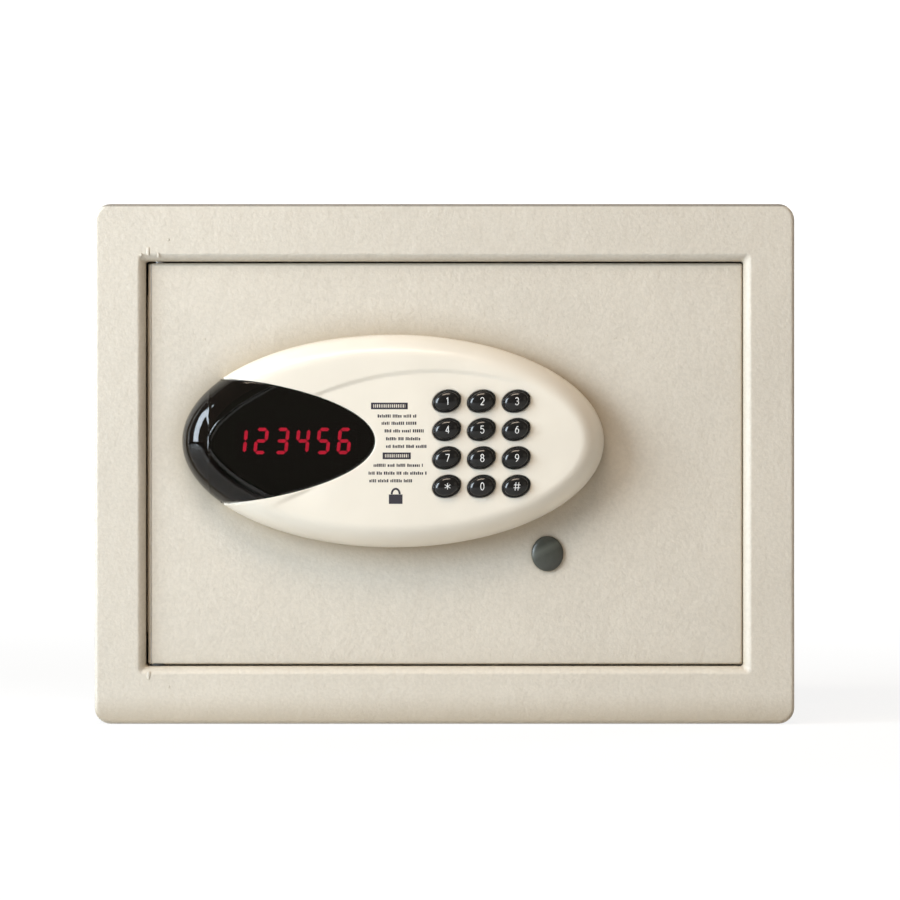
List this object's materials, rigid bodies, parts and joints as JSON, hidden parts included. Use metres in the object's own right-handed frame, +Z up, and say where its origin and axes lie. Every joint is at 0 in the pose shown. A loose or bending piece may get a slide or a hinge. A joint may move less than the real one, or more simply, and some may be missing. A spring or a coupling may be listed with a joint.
{
  "type": "in-room safe",
  "caption": "Steel box safe with a recessed hinged door, an oval electronic keypad panel with a display, a capped emergency lock and sliding locking bolts.",
  "frame": {"origin": "centre of the cabinet's underside (bottom centre of the cabinet box, not counting the panel that stands off the door)", "axes": "+X to the right seen from the front, +Y into the safe, +Z up; the door faces -Y"},
  "size_m": [0.35, 0.269, 0.26],
  "materials": {
    "body_paint": "ivory powder coat, fine orange peel",
    "steel": "zinc-plated steel",
    "brass": "turned brass",
    "panel_plastic": "cream moulded plastic, soft gloss",
    "lens": "black smoked acrylic, polished",
    "key_plastic": "black, glossy, white numerals",
    "black_plastic": "black, moulded",
    "cap_plastic": "dark grey, satin",
    "board": "green circuit board",
    "rubber": "grey silicone",
    "cable": "grey flat cable",
    "felt": "dark grey needle felt",
    "cell": "printed cell sleeve"
  },
  "bodies": {
    "cabinet": {"cabinet_wrap": "body_paint", "front_frame": "body_paint", "back_panel": "body_paint", "strike_plate": "body_paint", "floor_mat": "felt", "hinge_pin_lower": "steel", "hinge_pin_upper": "steel", "hinge_washer": "black_plastic"},
    "door": {"door_plate": "body_paint", "hinge_block_lower": "steel", "hinge_block_upper": "steel", "door_cover": "body_paint", "cover_screw_1": "steel", "cover_screw_2": "steel", "cover_screw_3": "steel", "cover_screw_4": "steel", "bolt_guide": "steel", "guide_stud_lower": "brass", "guide_stud_upper": "brass", "gear_motor": "steel", "motor_bracket": "steel", "lock_cylinder": "brass", "lock_nut": "brass", "panel_housing": "panel_plastic", "display_lens": "lens", "display_module": "black_plastic", "keypad_board": "board", "key_membrane": "rubber", "panel_screw_1": "steel", "panel_screw_2": "steel", "control_board": "board", "ribbon_cable": "cable", "battery_box": "black_plastic", "battery_1": "cell", "battery_2": "cell", "battery_3": "cell", "battery_4": "cell"},
    "boltwork": {"bolt_carriage": "steel", "locking_bolt_lower": "steel", "locking_bolt_upper": "steel"},
    "pinion": {"drive_pinion": "brass"},
    "plug": {"lock_plug": "brass", "lock_crank": "steel"},
    "cap": {"override_cap": "cap_plastic"},
    "battery_lid": {"battery_cover": "black_plastic"},
    "key_1_button": {"key_1": "key_plastic"},
    "key_2_button": {"key_2": "key_plastic"},
    "key_3_button": {"key_3": "key_plastic"},
    "key_4_button": {"key_4": "key_plastic"},
    "key_5_button": {"key_5": "key_plastic"},
    "key_6_button": {"key_6": "key_plastic"},
    "key_7_button": {"key_7": "key_plastic"},
    "key_8_button": {"key_8": "key_plastic"},
    "key_9_button": {"key_9": "key_plastic"},
    "key_star_button": {"key_star": "key_plastic"},
    "key_0_button": {"key_0": "key_plastic"},
    "key_hash_button": {"key_hash": "key_plastic"}
  },
  "joints": [
    {"name": "door_swing", "type": "hinge", "parent": "cabinet", "child": "door", "pos_m": [-0.143, -0.1165, 0.13], "axis": [0, 0, -1], "range_deg": [0, 100]},
    {"name": "bolt_slide", "type": "slide", "parent": "door", "child": "boltwork", "axis": [1, 0, 0], "range_m": [0, 0.014]},
    {"name": "pinion_spin", "type": "hinge", "parent": "door", "child": "pinion", "pos_m": [0.045, -0.0865, 0.14], "axis": [0, 1, 0], "range_deg": [0, 90]},
    {"name": "override_turn", "type": "hinge", "parent": "door", "child": "plug", "pos_m": [0.0515, -0.1, 0.085], "axis": [0, 1, 0], "range_deg": [0, 90]},
    {"name": "cap_pull", "type": "slide", "parent": "door", "child": "cap", "axis": [0, -1, 0], "range_m": [0, 0.02]},
    {"name": "battery_lid_pull", "type": "slide", "parent": "door", "child": "battery_lid", "axis": [0, 1, 0], "range_m": [0, 0.025]},
    {"name": "key_1_press", "type": "slide", "parent": "door", "child": "key_1_button", "axis": [0, 1, 0], "range_m": [0, 0.0012], "stiffness_N_per_m": 50},
    {"name": "key_2_press", "type": "slide", "parent": "door", "child": "key_2_button", "axis": [0, 1, 0], "range_m": [0, 0.0012], "stiffness_N_per_m": 50},
    {"name": "key_3_press", "type": "slide", "parent": "door", "child": "key_3_button", "axis": [0, 1, 0], "range_m": [0, 0.0012], "stiffness_N_per_m": 50},
    {"name": "key_4_press", "type": "slide", "parent": "door", "child": "key_4_button", "axis": [0, 1, 0], "range_m": [0, 0.0012], "stiffness_N_per_m": 50},
    {"name": "key_5_press", "type": "slide", "parent": "door", "child": "key_5_button", "axis": [0, 1, 0], "range_m": [0, 0.0012], "stiffness_N_per_m": 50},
    {"name": "key_6_press", "type": "slide", "parent": "door", "child": "key_6_button", "axis": [0, 1, 0], "range_m": [0, 0.0012], "stiffness_N_per_m": 50},
    {"name": "key_7_press", "type": "slide", "parent": "door", "child": "key_7_button", "axis": [0, 1, 0], "range_m": [0, 0.0012], "stiffness_N_per_m": 50},
    {"name": "key_8_press", "type": "slide", "parent": "door", "child": "key_8_button", "axis": [0, 1, 0], "range_m": [0, 0.0012], "stiffness_N_per_m": 50},
    {"name": "key_9_press", "type": "slide", "parent": "door", "child": "key_9_button", "axis": [0, 1, 0], "range_m": [0, 0.0012], "stiffness_N_per_m": 50},
    {"name": "key_star_press", "type": "slide", "parent": "door", "child": "key_star_button", "axis": [0, 1, 0], "range_m": [0, 0.0012], "stiffness_N_per_m": 50},
    {"name": "key_0_press", "type": "slide", "parent": "door", "child": "key_0_button", "axis": [0, 1, 0], "range_m": [0, 0.0012], "stiffness_N_per_m": 50},
    {"name": "key_hash_press", "type": "slide", "parent": "door", "child": "key_hash_button", "axis": [0, 1, 0], "range_m": [0, 0.0012], "stiffness_N_per_m": 50}
  ],
  "couplings": [
    {"joint": "pinion_spin", "follows": "bolt_slide", "rad_per_m": 111.11},
    {"joint": "override_turn", "follows": "bolt_slide", "rad_per_m": 112}
  ]
}
